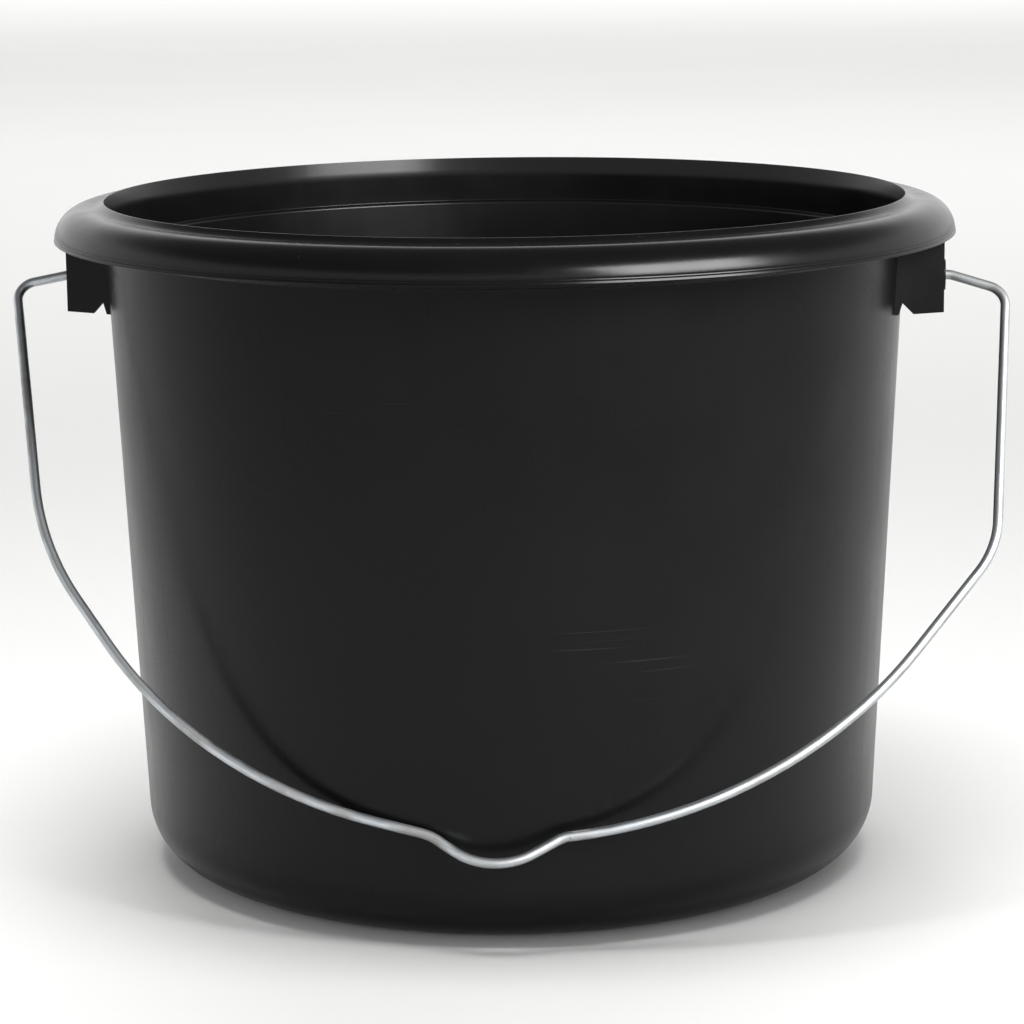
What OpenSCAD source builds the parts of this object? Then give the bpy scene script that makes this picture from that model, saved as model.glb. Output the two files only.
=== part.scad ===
// Florist bucket: a round tapered pail with a rolled rim, two handle lugs and a wire bail.
// Standing upright, Z up, origin at the centre of the foot ring's contact plane.
// The bail swings about the X axis and is drawn hanging against the front wall, which faces -Y.

/* [Pail] */
// Height from the surface it stands on to the top of the lip
pail_h = 175.5; // [165:0.5:190]
// Outer diameter of the wall where it meets the stacking shoulder
wall_top_d = 208.6; // [206:0.2:209.6]
// Outer diameter of the wall where it meets the bottom corner
wall_base_d = 194.6; // [185:0.2:200]
// Thickness of the wall
wall_t = 1.9; // [1.4:0.1:2.4]
// Outer radius of the rounded bottom corner
corner_r = 16; // [12:1:18]
// Thickness of the floor
floor_t = 1.9; // [1.5:0.1:2.4]
// Diameter of the raised middle of the floor, inside the foot ring
recess_d = 150; // [120:1:152]
// Height by which the middle of the floor stands clear of the ground
recess_h = 1.2; // [0.6:0.1:2]

/* [Rim] */
// Overall diameter of the rim
rim_d = 235; // [234:0.5:237]
// Outer diameter of the upright lip
lip_d = 210; // [209.4:0.1:211]
// Thickness of the upright lip and the neck below it
lip_t = 1.6; // [1.2:0.1:1.8]
// Height of the lip above the rolled band
lip_h = 1.5; // [1.4:0.1:2]
// Radius of the rolled band, measured on its outside
band_r = 8; // [7.6:0.1:8.4]
// Thickness of the rolled band
band_t = 1.8; // [1.4:0.1:2]
// Straight skirt below the rolled band
skirt_h = 0.3; // [0.2:0.1:1]
// Depth of the stacking shoulder below the top of the lip
shoulder_drop = 12.4; // [12:0.1:14]

/* [Handle lugs] */
// Width of each lug at its outer face
lug_outer_w = 28; // [24:1:28]
// Width of each lug where its webs meet the wall
lug_root_w = 40; // [32:1:42]
// Distance from the pail's axis to a lug's outer face
lug_reach = 114.3; // [113.5:0.1:114.4]
// Height of the underside of the lugs above the ground
lug_z = 146; // [143:0.1:147]
// Thickness of the plates that make up a lug
lug_t = 1.8; // [1.5:0.1:2.2]
// Diameter of the raised boss around the wire hole
boss_d = 8; // [6:0.5:10]
// Height of that boss above the lug's outer face
boss_h = 0.7; // [0.4:0.1:0.8]
// Width of the notch in each web beside the wall
notch_w = 3.8; // [2:0.1:4.5]
// Height of that notch
notch_h = 3; // [2:0.1:4]

/* [Bail] */
// Diameter of the bail wire
wire_d = 2.5; // [2:0.1:2.8]
// Clearance on the radius between the wire and its hole
hole_play = 0.08; // [0.03:0.01:0.1]
// Height of the pivot above the ground
pivot_z = 154; // [153:0.5:155]
// Angle between the hanging bail and straight down, where it rests on the front wall
rest_angle = 38.6; // [38.6:0.1:42]
// Distance from the pail's axis to the hooked ends inside the lugs
hook_x = 108.2; // [107.8:0.1:108.6]
// Length of each hooked end from the pivot axis
hook_len = 7; // [6:0.1:8]

/* [Hidden] */
eps = 0.01;
round_fn = 180;
arc_fn = 96;
small_fn = 48;
wire_fn = 40;

wall_top_r = wall_top_d / 2;
wall_base_r = wall_base_d / 2;
shoulder_z = pail_h - shoulder_drop;
lip_r = lip_d / 2;
rim_r = rim_d / 2;
wire_r = wire_d / 2;
hole_r = wire_r + hole_play;

// The rolled band is a quarter circle about this ring.
band_ring_r = rim_r - band_r;
band_ring_z = pail_h - lip_h - band_r;
band_inner_r = band_r - band_t;
skirt_z = band_ring_z - skirt_h;
skirt_step = 0.25;

// A bend is this much thicker on the radius than a straight run, and each run ends this far inside it.
bend_swell = 0.01;
run_overlap = 0.15;

// Centre of the rounded bottom corner, in section.
corner_ring_r = wall_base_r - corner_r;
recess_r = recess_d / 2;
// Outer radius of the tapered wall at a height.
function wall_r(z) = wall_base_r + (wall_top_r - wall_base_r) * (z - corner_r) / (shoulder_z - corner_r);

// The lugs are cut from a space that starts this far below them.
lug_cut = 2;
lug_cut_z = lug_z - lug_cut;
// Flat left between the wall and a web's notch.
notch_gap = 0.3;
// Radius of the concave fillet at the foot of the lip.
fillet_r = 0.9;

// The bail in its own plane: x along the pivot axis, then the distance from that axis, then the
// bend radius at that corner. The wire was bent by hand, so its left side differs from its right.
bail_corners = [
    [-hook_x, hook_len, 0],
    [-hook_x, 0, 2.8],
    [-116.2, 0, 6],
    [-130.5, 3.5, 5],
    [-115, 81.5, 80],
    [-68, 145, 126],
    [-10.5, 159, 13],
    [5, 169.5, 18],
    [22, 159, 8],
    [76.5, 151, 124],
    [127, 80, 27],
    [130.5, 5, 6],
    [116.2, 0, 6],
    [hook_x, 0, 2.8],
    [hook_x, hook_len, 0]
];
last_corner = len(bail_corners) - 1;

// A corner of the bail as a point in section, with the pivot axis at height 0.
function corner_at(i) = [bail_corners[i][0], -bail_corners[i][1]];
function unit(v) = v / norm(v);
function heading(i) = unit(corner_at(i + 1) - corner_at(i));
function cross_2d(a, b) = a[0] * b[1] - a[1] * b[0];
// Turn at corner i, positive to the left of the wire's direction.
function turn(i) = atan2(cross_2d(heading(i - 1), heading(i)), heading(i - 1) * heading(i));
// Straight length that the bend takes up on each side of its corner.
function bend_reach(i) = (i == 0 || i == last_corner) ? 0 : bail_corners[i][2] * tan(abs(turn(i)) / 2);
function bend_start(i) = corner_at(i) - heading(i - 1) * bend_reach(i);
function bend_end(i) = corner_at(i) + heading(i) * bend_reach(i);
function left_of(v) = [-v[1], v[0]];
function bend_centre(i) = bend_start(i) + left_of(heading(i - 1)) * sign(turn(i)) * bail_corners[i][2];
function angle_of(v) = atan2(v[1], v[0]);

module ring_of(z_low, z_high, outer_low, outer_high, inner_low, inner_high) {
    rotate_extrude($fn = round_fn)
        polygon([[inner_low, z_low], [outer_low, z_low], [outer_high, z_high], [inner_high, z_high]]);
}

// Floor with its raised middle, the foot ring it stands on and the rounded corner.
module base() {
    color([0.07, 0.07, 0.075])
        rotate_extrude($fn = round_fn)
            union() {
                polygon([
                    [0, recess_h],
                    [recess_r, recess_h],
                    [recess_r + recess_h, 0],
                    [corner_ring_r, 0],
                    [corner_ring_r, floor_t],
                    [recess_r + recess_h - floor_t / 2, floor_t],
                    [recess_r - floor_t / 2, floor_t + recess_h],
                    [0, floor_t + recess_h]
                ]);
                intersection() {
                    difference() {
                        translate([corner_ring_r, corner_r]) circle(corner_r, $fn = arc_fn);
                        translate([corner_ring_r, corner_r]) circle(corner_r - floor_t, $fn = arc_fn);
                    }
                    translate([corner_ring_r, 0]) square(corner_r);
                }
            }
}

// Tapered wall between the rounded corner and the stacking shoulder.
module side_wall() {
    color([0.07, 0.07, 0.075])
        ring_of(
            corner_r, shoulder_z, wall_base_r, wall_top_r,
            wall_base_r - wall_t, wall_top_r - wall_t
        );
}

// Section of the rim: the neck above the shoulder, its rounded lip, and the band rolled outwards.
module rim_section() {
    lip_inner_r = lip_r - lip_t;
    lip_round = lip_t / 2;
    neck_chamfer = lip_r - wall_top_r;
    polygon([
        [lip_inner_r, shoulder_z],
        [wall_top_r, shoulder_z],
        [lip_r, shoulder_z + neck_chamfer],
        [lip_r, pail_h - lip_round],
        [lip_inner_r, pail_h - lip_round]
    ]);
    translate([lip_r - lip_round, pail_h - lip_round]) circle(lip_round, $fn = small_fn);
    translate([lip_r - eps, band_ring_z + band_inner_r])
        square([band_ring_r - lip_r + 2 * eps, band_t]);
    difference() {
        translate([lip_r - eps, band_ring_z + band_r - eps]) square(fillet_r + eps);
        translate([lip_r + fillet_r, band_ring_z + band_r + fillet_r]) circle(fillet_r, $fn = small_fn);
    }
    intersection() {
        difference() {
            translate([band_ring_r, band_ring_z]) circle(band_r, $fn = arc_fn);
            translate([band_ring_r, band_ring_z]) circle(band_inner_r, $fn = arc_fn);
        }
        translate([band_ring_r, band_ring_z]) square(band_r);
    }
    translate([rim_r - band_t, skirt_z]) square([band_t - skirt_step, skirt_h + eps]);
}

module rolled_rim() {
    color([0.08, 0.08, 0.085])
        rotate_extrude($fn = round_fn) rim_section();
}

// The free space under the rim and outside the wall, which the lugs grow in.
module lug_space() {
    rotate_extrude($fn = round_fn) {
        polygon([
            [wall_r(lug_cut_z), lug_cut_z],
            [wall_top_r, shoulder_z],
            [lip_r, shoulder_z + lip_r - wall_top_r],
            [lip_r, band_ring_z + band_inner_r],
            [band_ring_r, band_ring_z + band_inner_r],
            [band_ring_r, lug_cut_z]
        ]);
        intersection() {
            translate([band_ring_r, band_ring_z]) circle(band_inner_r, $fn = arc_fn);
            translate([band_ring_r - eps, band_ring_z]) square(band_r);
        }
        translate([band_ring_r - eps, lug_cut_z])
            square([band_inner_r + eps, band_ring_z - lug_cut_z + eps]);
    }
}

// Plan of a lug: its half-width at x, inset from the outside by a plate of thickness t.
lug_root_x = sqrt(pow(wall_top_r, 2) - pow(lug_root_w / 2, 2));
lug_splay = (lug_root_w - lug_outer_w) / 2 / (lug_reach - lug_root_x);
function lug_half_w(x, t) = lug_outer_w / 2 + (lug_reach - x) * lug_splay - t * norm([1, lug_splay]);

module lug_plan(x_low, t) {
    x_high = lug_reach - t;
    polygon([
        [x_low, -lug_half_w(x_low, t)],
        [x_high, -lug_half_w(x_high, t)],
        [x_high, lug_half_w(x_high, t)],
        [x_low, lug_half_w(x_low, t)]
    ]);
}

// One lug on the +X side: an outer plate with the wire hole, and a splayed web at each end of it.
module lug() {
    lug_h = pail_h - lug_z;
    difference() {
        intersection() {
            translate([0, 0, lug_z])
                linear_extrude(lug_h)
                    difference() {
                        lug_plan(wall_base_r - lug_cut / 2, 0);
                        lug_plan(wall_base_r - lug_cut, lug_t);
                    }
            lug_space();
        }
        translate([lug_root_x + notch_gap, 0, lug_z - eps])
            rotate([90, 0, 0])
                linear_extrude(2 * lug_root_w, center = true)
                    polygon([[0, 0], [notch_w / 4, notch_h], [notch_w, 0]]);
        translate([lug_reach - 2 * lug_t, 0, pivot_z])
            rotate([0, 90, 0])
                cylinder(r = hole_r, h = 4 * lug_t, $fn = small_fn);
    }
    translate([lug_reach, 0, pivot_z])
        rotate([0, 90, 0])
            difference() {
                cylinder(d = boss_d, h = boss_h, $fn = small_fn);
                translate([0, 0, -boss_h]) cylinder(r = hole_r, h = 3 * boss_h, $fn = small_fn);
            }
}

module right_lug() {
    color([0.05, 0.05, 0.055]) lug();
}

module left_lug() {
    color([0.05, 0.05, 0.055]) mirror([1, 0, 0]) lug();
}

// One straight run of the wire from inside one bend to inside the next.
module wire_run(i) {
    start = bend_end(i) - heading(i) * (i == 0 ? 0 : run_overlap);
    finish = bend_start(i + 1) + heading(i) * (i + 1 == last_corner ? 0 : run_overlap);
    run = finish - start;
    translate([start[0], 0, start[1]])
        rotate([0, atan2(run[0], run[1]), 0])
            cylinder(r = wire_r, h = norm(run), $fn = wire_fn);
}

// One bend of the wire: a part of a torus.
module wire_bend(i) {
    first = turn(i) > 0 ? bend_start(i) : bend_end(i);
    centre = bend_centre(i);
    translate([centre[0], 0, centre[1]])
        rotate([90, 0, 0])
            rotate([0, 0, angle_of(first - centre)])
                rotate_extrude(angle = abs(turn(i)), $fn = 2 * round_fn)
                    translate([bail_corners[i][2], 0]) circle(wire_r + bend_swell, $fn = wire_fn);
}

// The bail: one length of galvanised wire, hooked at both ends, with a dip in the grip.
module wire_bail() {
    color([0.66, 0.68, 0.7])
        translate([0, 0, pivot_z])
            rotate([-rest_angle, 0, 0])
                union() {
                    for (i = [0 : last_corner - 1]) wire_run(i);
                    for (i = [1 : last_corner - 1]) wire_bend(i);
                }
}

base();
side_wall();
rolled_rim();
left_lug();
right_lug();
wire_bail();
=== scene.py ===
"""Looks of the florist bucket: a black moulded pail with two handle lugs, and its wire bail."""

import math

import bpy
import numpy as np
from mathutils import Matrix, Vector


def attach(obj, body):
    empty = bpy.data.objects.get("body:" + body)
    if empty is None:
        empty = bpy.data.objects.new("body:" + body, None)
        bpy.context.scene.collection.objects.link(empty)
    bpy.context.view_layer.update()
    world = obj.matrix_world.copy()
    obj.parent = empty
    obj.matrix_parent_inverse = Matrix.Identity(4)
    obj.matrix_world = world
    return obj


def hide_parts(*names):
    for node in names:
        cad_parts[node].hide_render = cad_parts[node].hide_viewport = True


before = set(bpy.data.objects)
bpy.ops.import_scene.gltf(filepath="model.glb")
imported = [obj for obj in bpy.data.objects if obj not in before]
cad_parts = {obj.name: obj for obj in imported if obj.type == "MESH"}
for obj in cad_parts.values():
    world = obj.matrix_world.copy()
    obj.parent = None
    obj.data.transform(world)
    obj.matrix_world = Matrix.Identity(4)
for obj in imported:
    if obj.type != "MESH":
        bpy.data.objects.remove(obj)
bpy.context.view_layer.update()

# ---------------------------------------------------------------------------------------------
# Pail. One injection moulding in black polypropylene: floor, tapered wall and rolled rim in one
# piece, filled from a gate in the middle of the floor. It stands on a narrow foot ring.
# ---------------------------------------------------------------------------------------------

MM = 0.001


def bent_line(corners, steps_per_turn=110, straight_steps=9):
    """A line through corners given as (x, y, bend radius), each one rounded to its radius.
    A bend starts radius times tan(half the turn) before its corner, and follows a circle with its
    centre one radius to the side. A straight is divided at (1 - cos) / 2 of its length, so that its
    points crowd towards its ends, and the shading of a bend doesn't spread along it."""
    corners = np.asarray(corners, float)
    spot, radius = corners[:, :2], corners[:, 2]
    run = np.diff(spot, axis=0)
    heading = run / np.linalg.norm(run, axis=1)[:, None]
    share = (1 - np.cos(np.linspace(0, np.pi, straight_steps))) / 2
    pieces = []
    leave = spot[0]
    for i in range(1, len(spot)):
        if i == len(spot) - 1:
            arrive, bend = spot[i], None
        else:
            a, b = heading[i - 1], heading[i]
            turn = math.atan2(a[0] * b[1] - a[1] * b[0], a @ b)
            arrive = spot[i] - a * radius[i] * math.tan(abs(turn) / 2)
            side = math.copysign(1, turn) * radius[i] * np.array([-a[1], a[0]])
            steps = max(5, math.ceil(abs(turn) / (2 * math.pi) * steps_per_turn) + 1)
            angle = np.linspace(0, turn, steps)[:, None]
            spoke = -side
            across = np.array([-spoke[1], spoke[0]])
            bend = arrive + side + spoke * np.cos(angle) + across * np.sin(angle)
        pieces.append((leave + share[:, None] * (arrive - leave))[:-1])
        if bend is None:
            pieces.append(arrive[None])
        else:
            pieces.append(bend[:-1])
            leave = bend[-1]
    return np.vstack(pieces)


def arc(centre, radius, start, end, steps):
    """Points on a circle: centre + radius x (cosine, sine) at even steps between two angles."""
    angle = np.radians(np.linspace(start, end, steps))
    return np.column_stack([centre[0] + radius * np.cos(angle), centre[1] + radius * np.sin(angle)])


def skin(name, rings):
    """A closed surface over rings of points, an array of rows by points round the row by 3, in
    millimetres. The first and last rows are single points, which close the ends with fans."""
    rows, around = rings.shape[:2]
    points = np.vstack([rings[0, :1], rings[1:-1].reshape(-1, 3), rings[-1, :1]]) * MM
    near = np.arange(around)
    far = np.roll(near, -1)
    row = 1 + np.arange(rows - 3)[:, None] * around
    quads = np.stack([row + near, row + far, row + around + far, row + around + near], -1)
    last_row = 1 + (rows - 3) * around
    top = len(points) - 1
    start_fan = np.stack([np.zeros_like(near), 1 + far, 1 + near], -1)
    end_fan = np.stack([last_row + near, last_row + far, np.full_like(near, top)], -1)
    mesh = bpy.data.meshes.new(name)
    faces = start_fan.tolist() + quads.reshape(-1, 4).tolist() + end_fan.tolist()
    mesh.from_pydata(points.tolist(), [], faces)
    mesh.shade_smooth()
    piece = bpy.data.objects.new(name, mesh)
    bpy.context.scene.collection.objects.link(piece)
    return piece


# The pail's section, from the gate under the floor round the outside to the middle of the floor.
# The band's arc ends in two fine steps, a parting line and a bead, above the edge of the skirt.
BAND_RING = (109.4, 166.05)
BAND_R = 7.95
outside = bent_line(
    [
        (0, 0.7, 0),
        (2.8, 0.7, 0.3),
        (3.5, 1.2, 0.3),
        (75, 1.2, 0.8),
        (76.2, 0, 0.6),
        (96.56, 0, 16),
        (104.3, 163.1, 0.35),
        (105, 163.8, 0.35),
        (105, 172.2, 0.5),
        (115.7, 172.2, 6.2),
        (115.7, 165.7, 0.3),
        (117.49, 165.7, 0.14),
        (117.49, 165.98, 0.08),
        (117.29, 166.42, 0.08),
        (117.29, 166.72, 0.04),
        (117.36, 166.8, 0.03),
        (117.27, 167.02, 0.05),
        (117.27, 167.16, 0),
    ]
)
# The band rises from just above the skirt's edge, at 8 degrees, to its crest.
band = arc(BAND_RING, BAND_R, 8, 90, 34)
inside = bent_line(
    [
        (109.4, 174, 0),
        (106.3, 174, 3.4),
        (104.7, 175.495, 0.15),
        (104.4, 175.495, 0.12),
        (103.6, 171.3, 12),
        (103.4, 163.1, 0.3),
        (102.4, 163.1, 0.9),
        (94.747, 1.9, 14.1),
        (75.25, 1.9, 0.8),
        (74.05, 3.1, 0.8),
        (0, 3.1, 0),
    ]
)
section = np.vstack([outside[:-1], band[:-1], inside])
PAIL_SIDES = 360
spin = np.linspace(0, 2 * np.pi, PAIL_SIDES, endpoint=False)
pail = skin(
    "pail_moulding",
    np.stack(
        [
            section[:, :1] * np.cos(spin),
            section[:, :1] * np.sin(spin),
            np.repeat(section[:, 1:], len(spin), axis=1),
        ],
        -1,
    ),
)


def linear(hex_colour):
    """sRGB hex to linear RGBA: each channel is divided by 12.92 below 0.04045, and above it is the
    2.4th power of (channel + 0.055) / 1.055."""
    share = np.array([int(hex_colour[i : i + 2], 16) for i in (1, 3, 5)]) / 255
    value = np.where(share <= 0.04045, share / 12.92, ((share + 0.055) / 1.055) ** 2.4)
    return (*value, 1.0)


def add(tree, kind, inputs=None, **settings):
    """Adds one node. An input takes a constant, or is joined to the socket given for it."""
    made = tree.nodes.new(kind)
    for name, value in settings.items():
        setattr(made, name, value)
    for key, value in (inputs or {}).items():
        if isinstance(value, bpy.types.NodeSocket):
            tree.links.new(value, made.inputs[key])
        else:
            made.inputs[key].default_value = value
    return made.outputs


def new_material(name):
    """A material with an empty tree, and its Principled shader joined to its output."""
    material = bpy.data.materials.new(name)
    material.use_nodes = True
    tree = material.node_tree
    tree.nodes.clear()
    shader = tree.nodes.new("ShaderNodeBsdfPrincipled")
    add(tree, "ShaderNodeOutputMaterial", {"Surface": shader.outputs[0]})
    return material, tree, shader


# Black polypropylene, injection moulded against a satin tool: near-black all through, a soft sheen
# that goes bright at grazing angles, and flow lines that rise from the gate up the wall. Handling
# has left fine scratches round the wall and paler scuffs on the rim and the foot ring.
polypropylene, tree, shader = new_material("moulded_black_polypropylene")
place = add(tree, "ShaderNodeTexCoord")["Object"]
# Flow lines, about 5 mm apart round the wall and 120 mm long.
flow_place = add(tree, "ShaderNodeMapping", {"Vector": place, "Scale": (200, 200, 8)})[0]
flow = add(tree, "ShaderNodeTexNoise", {"Vector": flow_place, "Scale": 1, "Detail": 3})[0]
# Satin grain of the tool: 0.1 mm on the real piece, drawn at 0.7 mm so that it shows.
grain = add(tree, "ShaderNodeTexNoise", {"Vector": place, "Scale": 1400, "Detail": 2})[0]
# Cloudy patches of sheen, about 30 mm across.
cloud = add(tree, "ShaderNodeTexNoise", {"Vector": place, "Scale": 34, "Detail": 4})[0]
# Scratches round the wall from nesting, 0.5 mm high and 60 mm long, kept to a few places.
scratch_place = add(tree, "ShaderNodeMapping", {"Vector": place, "Scale": (16, 16, 2000)})[0]
scratch_noise = add(
    tree, "ShaderNodeTexNoise", {"Vector": scratch_place, "Scale": 1, "Detail": 1}
)[0]
patch = add(tree, "ShaderNodeTexNoise", {"Vector": place, "Scale": 14, "Detail": 1})[0]
scratch_line = add(
    tree, "ShaderNodeMapRange", {"Value": scratch_noise, "From Min": 0.7, "From Max": 0.85}
)[0]
scratch_patch = add(
    tree, "ShaderNodeMapRange", {"Value": patch, "From Min": 0.64, "From Max": 0.74}
)[0]
scratch = add(tree, "ShaderNodeMath", {0: scratch_line, 1: scratch_patch}, operation="MULTIPLY")[0]
# Scuffs where the rim is handled and where the foot ring stands.
height = add(tree, "ShaderNodeSeparateXYZ", {0: place})["Z"]
on_rim = add(
    tree, "ShaderNodeMapRange", {"Value": height, "From Min": 0.166, "From Max": 0.1745}
)[0]
on_foot = add(
    tree, "ShaderNodeMapRange", {"Value": height, "From Min": 0.004, "From Max": 0.0}
)[0]
handled = add(tree, "ShaderNodeMath", {0: on_rim, 1: on_foot}, operation="MAXIMUM")[0]
scuff_noise = add(
    tree, "ShaderNodeTexNoise", {"Vector": place, "Scale": 260, "Detail": 5, "Roughness": 0.7}
)[0]
scuff_spots = add(
    tree, "ShaderNodeMapRange", {"Value": scuff_noise, "From Min": 0.66, "From Max": 0.8}
)[0]
scuff = add(tree, "ShaderNodeMath", {0: scuff_spots, 1: handled}, operation="MULTIPLY")[0]
worn = add(tree, "ShaderNodeMath", {0: scratch, 1: scuff}, operation="MAXIMUM")[0]

tint = add(
    tree,
    "ShaderNodeMix",
    {0: cloud, 6: linear("#040404"), 7: linear("#070708")},
    data_type="RGBA",
)[2]
colour = add(tree, "ShaderNodeMix", {0: worn, 6: tint, 7: linear("#222325")}, data_type="RGBA")[2]
tree.links.new(colour, shader.inputs["Base Color"])
sheen = add(
    tree,
    "ShaderNodeMapRange",
    {"Value": cloud, "From Min": 0.3, "From Max": 0.7, "To Min": 0.22, "To Max": 0.3},
)[0]
streaked = add(tree, "ShaderNodeMath", {0: flow, 1: 0.06, 2: sheen}, operation="MULTIPLY_ADD")[0]
# The rim is polished in the tool, so it is glossier than the wall.
polished = add(
    tree, "ShaderNodeMapRange", {"Value": height, "From Min": 0.161, "From Max": 0.166}
)[0]
sharper = add(
    tree, "ShaderNodeMath", {0: polished, 1: -0.05, 2: streaked}, operation="MULTIPLY_ADD"
)[0]
# Scratches and scuffs are rougher than the skin they cut through.
rough = add(tree, "ShaderNodeMath", {0: worn, 1: 0.14, 2: sharper}, operation="MULTIPLY_ADD")[0]
tree.links.new(rough, shader.inputs["Roughness"])
shader.inputs["IOR"].default_value = 1.49
shader.inputs["Specular IOR Level"].default_value = 0.17
# Heights in metres: flow lines 0.02 mm, grain 0.004 mm, scratches 0.015 mm deep.
relief = add(tree, "ShaderNodeBump", {"Height": flow, "Distance": 0.00002})[0]
relief = add(tree, "ShaderNodeBump", {"Height": grain, "Distance": 0.000004, "Normal": relief})[0]
relief = add(
    tree, "ShaderNodeBump", {"Height": worn, "Distance": 0.000015, "Normal": relief}, invert=True
)[0]
tree.links.new(relief, shader.inputs["Normal"])

pail.data.materials.append(polypropylene)
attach(pail, "pail")
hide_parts("base", "side_wall", "rolled_rim")

# ---------------------------------------------------------------------------------------------
# Handle lugs. Moulded with the pail under its rim: an outer plate with a bored boss for the wire,
# and two splayed webs back to the wall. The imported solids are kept, with their edges eased.
# ---------------------------------------------------------------------------------------------

LUG_EDGE = 0.25 * MM

for name in ("left_lug", "right_lug"):
    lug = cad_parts[name]
    lug.data.materials.clear()
    lug.data.materials.append(polypropylene)
    weld = lug.modifiers.new("joined_faces", "WELD")
    weld.merge_threshold = 0.002 * MM
    ease = lug.modifiers.new("eased_edges", "BEVEL")
    ease.width = LUG_EDGE
    ease.segments = 3
    ease.limit_method = "ANGLE"
    ease.angle_limit = math.radians(40)
    ease.harden_normals = True

# ---------------------------------------------------------------------------------------------
# Bail. One length of drawn steel wire, hot-dip galvanised, bent by hand with a dip for the grip.
# Its ends are hooked through the lugs' bosses, and it hangs against the front of the wall.
# ---------------------------------------------------------------------------------------------

WIRE_R = 1.25
PIVOT_Z = 154.0
REST_ANGLE = math.radians(38.6)
END_ROUND = 0.4
WIRE_SIDES = 28
# Each corner as (across, drop from the pivot axis, bend radius).
BAIL_CORNERS = np.array(
    [
        (-108.2, 7, 0),
        (-108.2, 0, 2.8),
        (-116.2, 0, 6),
        (-130.5, 3.5, 5),
        (-115, 81.5, 80),
        (-68, 145, 126),
        (-10.5, 159, 13),
        (5, 169.5, 18),
        (22, 159, 8),
        (76.5, 151, 124),
        (127, 80, 27),
        (130.5, 5, 6),
        (116.2, 0, 6),
        (108.2, 0, 2.8),
        (108.2, 7, 0),
    ]
)


def swept_wire(name, line, radius, across, up, origin):
    """A round wire along a flat line: each ring is the line's point plus the radius times
    (cosine of the angle x the line's left side + sine x the plane's normal). The radius falls to
    nothing over the last END_ROUND at both ends, as a quarter ellipse."""
    along = np.gradient(line, axis=0)
    along /= np.linalg.norm(along, axis=1)[:, None]
    left = np.column_stack([-along[:, 1], along[:, 0]])
    length = np.concatenate([[0], np.cumsum(np.linalg.norm(np.diff(line, axis=0), axis=1))])
    to_end = np.clip(np.minimum(length, length[-1] - length) / END_ROUND, 0, 1)
    reach = radius * np.sqrt(1 - (1 - to_end) ** 2)
    angle = np.linspace(0, 2 * np.pi, WIRE_SIDES, endpoint=False)
    plane = np.array([across, up])
    centre = origin + line @ plane
    side = left @ plane
    normal = np.cross(across, up)
    spoke = np.cos(angle)[None, :, None] * side[:, None] + np.sin(angle)[None, :, None] * normal
    wire = skin(name, centre[:, None] + reach[:, None, None] * spoke)
    # Each point's place on the straightened wire, for patterns that run along it.
    flat = np.stack(
        np.broadcast_arrays(
            radius * np.cos(angle)[None], radius * np.sin(angle)[None], length[:, None]
        ),
        -1,
    )
    flat = np.vstack([flat[0, :1], flat[1:-1].reshape(-1, 3), flat[-1, :1]]) * MM
    wire.data.attributes.new("on_wire", "FLOAT_VECTOR", "POINT").data.foreach_set(
        "vector", flat.astype(np.float32).ravel()
    )
    return wire


bail = swept_wire(
    "bail_wire",
    bent_line(BAIL_CORNERS * (1, -1, 1), steps_per_turn=150, straight_steps=12),
    WIRE_R,
    np.array([1.0, 0, 0]),
    np.array([0, math.sin(REST_ANGLE), math.cos(REST_ANGLE)]),
    np.array([0, 0, PIVOT_Z]),
)

# Hot-dip galvanised drawn steel wire: a grey zinc skin, brighter where it has been rubbed, with
# fine lines left along it by the drawing die, small lumps of zinc, and dull patches of oxide.
zinc, tree, shader = new_material("galvanised_drawn_steel_wire")
on_wire = add(tree, "ShaderNodeAttribute", attribute_name="on_wire")["Vector"]
place = add(tree, "ShaderNodeTexCoord")["Object"]
# Drawing lines: 0.05 mm apart on the real wire, drawn at 0.4 mm so that they show, and 30 mm long.
line_place = add(tree, "ShaderNodeMapping", {"Vector": on_wire, "Scale": (2500, 2500, 33)})[0]
drawn = add(tree, "ShaderNodeTexNoise", {"Vector": line_place, "Scale": 1, "Detail": 2})[0]
# Zinc lumps 1.2 mm across, and oxide patches 12 mm long.
lumps = add(tree, "ShaderNodeTexNoise", {"Vector": place, "Scale": 850, "Detail": 2})[0]
oxide = add(tree, "ShaderNodeTexNoise", {"Vector": place, "Scale": 85, "Detail": 4})[0]
dull = add(tree, "ShaderNodeMapRange", {"Value": oxide, "From Min": 0.4, "From Max": 0.68})[0]
skin_colour = add(
    tree,
    "ShaderNodeMix",
    {0: drawn, 6: linear("#a9aeb2"), 7: linear("#ccd0d3")},
    data_type="RGBA",
)[2]
colour = add(
    tree, "ShaderNodeMix", {0: dull, 6: skin_colour, 7: linear("#949493")}, data_type="RGBA"
)[2]
tree.links.new(colour, shader.inputs["Base Color"])
rough = add(
    tree,
    "ShaderNodeMapRange",
    {"Value": oxide, "From Min": 0.35, "From Max": 0.7, "To Min": 0.38, "To Max": 0.56},
)[0]
tree.links.new(rough, shader.inputs["Roughness"])
shader.inputs["Metallic"].default_value = 1.0
# Heights in metres: drawing lines 0.006 mm, zinc lumps 0.02 mm.
relief = add(tree, "ShaderNodeBump", {"Height": drawn, "Distance": 0.000006})[0]
relief = add(tree, "ShaderNodeBump", {"Height": lumps, "Distance": 0.00002, "Normal": relief})[0]
tree.links.new(relief, shader.inputs["Normal"])

bail.data.materials.append(zinc)
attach(bail, "bail")
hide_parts("wire_bail")

# ---------------------------------------------------------------------------------------------
# Studio. A wide pale board to stand on, soft boxes, and a camera a little above the rim.
# ---------------------------------------------------------------------------------------------

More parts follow.
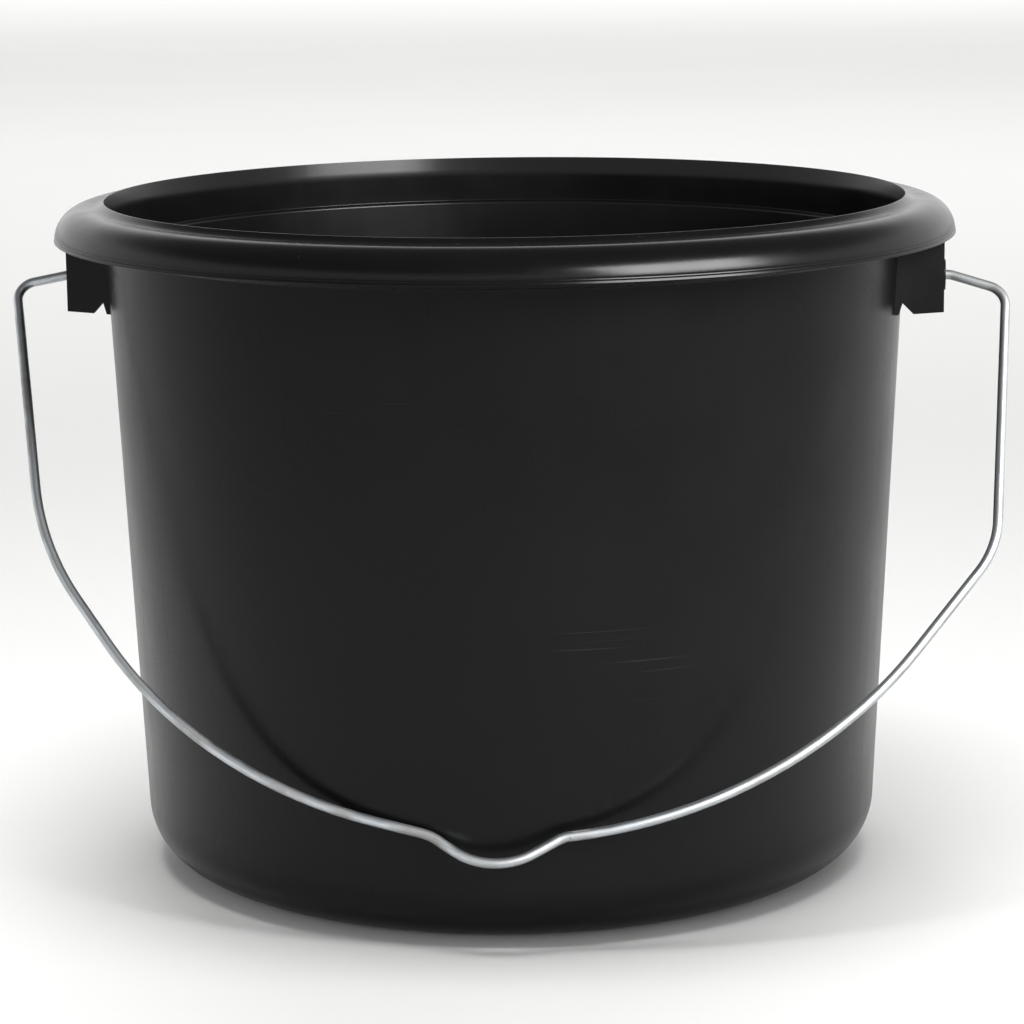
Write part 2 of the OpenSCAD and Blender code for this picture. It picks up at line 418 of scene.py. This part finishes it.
# The board's top is FLOOR_GAP under the pail, so that the two never share a plane.
FLOOR_GAP = 0.1
FLOOR_T = 20
FLOOR_SIDES = 96
floor_turn = np.linspace(0, 2 * np.pi, FLOOR_SIDES, endpoint=False)
floor_rows = np.array([0, 200, 600, 1500, 4000, 12000.0])
floor_points = np.stack(
    [
        floor_rows[:, None] * np.cos(floor_turn),
        floor_rows[:, None] * np.sin(floor_turn),
        np.full((len(floor_rows), FLOOR_SIDES), -FLOOR_GAP),
    ],
    -1,
)
under = floor_points[-1:] * (1, 1, 0) + (0, 0, -FLOOR_T)
floor = skin("floor_board", np.concatenate([floor_points, under, under * (0, 0, 1)])[:, ::-1])
board, tree, shader = new_material("matt_painted_board")
place = add(tree, "ShaderNodeTexCoord")["Object"]
mottle = add(tree, "ShaderNodeTexNoise", {"Vector": place, "Scale": 3, "Detail": 3})[0]
colour = add(
    tree, "ShaderNodeMix", {0: mottle, 6: linear("#f0f0ef"), 7: linear("#f4f4f3")}, data_type="RGBA"
)[2]
tree.links.new(colour, shader.inputs["Base Color"])
shader.inputs["Roughness"].default_value = 0.9
shader.inputs["Specular IOR Level"].default_value = 0.1
floor.data.materials.append(board)


def soft_box(name, azimuth, elevation, distance, width, height, radiance, aim=(0, 0, 0.12)):
    """A rectangular light that faces its aim. Azimuth is in degrees from the front, growing to the
    right. Its power is the radiance times pi times its area."""
    a, e = math.radians(azimuth), math.radians(elevation)
    back = Vector((math.sin(a) * math.cos(e), -math.cos(a) * math.cos(e), math.sin(e)))
    lamp = bpy.data.lights.new(name, "AREA")
    lamp.shape = "RECTANGLE"
    lamp.size, lamp.size_y = width, height
    lamp.energy = radiance * math.pi * width * height
    box = bpy.data.objects.new(name, lamp)
    bpy.context.scene.collection.objects.link(box)
    box.location = Vector(aim) + back * distance
    box.rotation_mode = "QUATERNION"
    box.rotation_quaternion = back.to_track_quat("Z", "Y")
    return box


window = soft_box("window_box", 51, 30, 1.5, 0.95, 0.7, 31)
pool = soft_box("pool_box", 0, 89, 1.15, 0.7, 0.35, 2.4, aim=(0, -0.2, 0))
pool.data.spread = math.radians(75)
back = soft_box("back_box", 172, 50, 2.6, 3.2, 2.2, 1.3)
far = soft_box("far_box", 180, 28, 7.5, 8, 4, 2.4)
# Only the window box shows in reflections. The others fill in the board.
for box in (pool, back, far):
    box.visible_glossy = False
# The window box is flagged off the board, which would otherwise outshine the pail.
flagged = bpy.data.collections.new("flagged_off")
flagged.objects.link(floor)
flagged.collection_objects[0].light_linking.link_state = "EXCLUDE"
window.light_linking.receiver_collection = flagged

# The room: pale walls that shine in the rim's ends, under a darker ceiling.
world = bpy.data.worlds.new("studio_room")
world.use_nodes = True
tree = world.node_tree
room = tree.nodes["Background"]
room.inputs["Color"].default_value = linear("#ffffff")
direction = add(tree, "ShaderNodeTexCoord")["Generated"]
rise = add(tree, "ShaderNodeSeparateXYZ", {0: direction})["Z"]
glow = add(
    tree,
    "ShaderNodeMapRange",
    {"Value": rise, "From Min": 0.36, "From Max": 0.55, "To Min": 1.25, "To Max": 0.18},
)[0]
tree.links.new(glow, room.inputs["Strength"])
bpy.context.scene.world = world
bpy.context.scene.view_settings.view_transform = "Standard"

CAMERA_DISTANCE = 0.9
CAMERA_HEIGHT = 0.26504
CAMERA_AZIMUTH = 0.09529
CAMERA_TILT = 0.19179
CAMERA_PAN = 0.00115
CAMERA_ROLL = -0.01159
heading = CAMERA_AZIMUTH - CAMERA_PAN
look = Vector(
    (
        -math.sin(heading) * math.cos(CAMERA_TILT),
        math.cos(heading) * math.cos(CAMERA_TILT),
        -math.sin(CAMERA_TILT),
    )
)
level_right = look.cross(Vector((0, 0, 1))).normalized()
level_up = level_right.cross(look)
right = level_right * math.cos(CAMERA_ROLL) + level_up * math.sin(CAMERA_ROLL)
up = level_up * math.cos(CAMERA_ROLL) - level_right * math.sin(CAMERA_ROLL)
lens = bpy.data.cameras.new("studio_camera")
lens.sensor_width = 36
lens.lens = 120.81
lens.clip_start, lens.clip_end = 0.05, 60
camera = bpy.data.objects.new("studio_camera", lens)
bpy.context.scene.collection.objects.link(camera)
camera.matrix_world = Matrix.Translation(
    (
        CAMERA_DISTANCE * math.sin(CAMERA_AZIMUTH),
        -CAMERA_DISTANCE * math.cos(CAMERA_AZIMUTH),
        CAMERA_HEIGHT,
    )
) @ Matrix((right, up, -look)).transposed().to_4x4()
bpy.context.scene.camera = camera
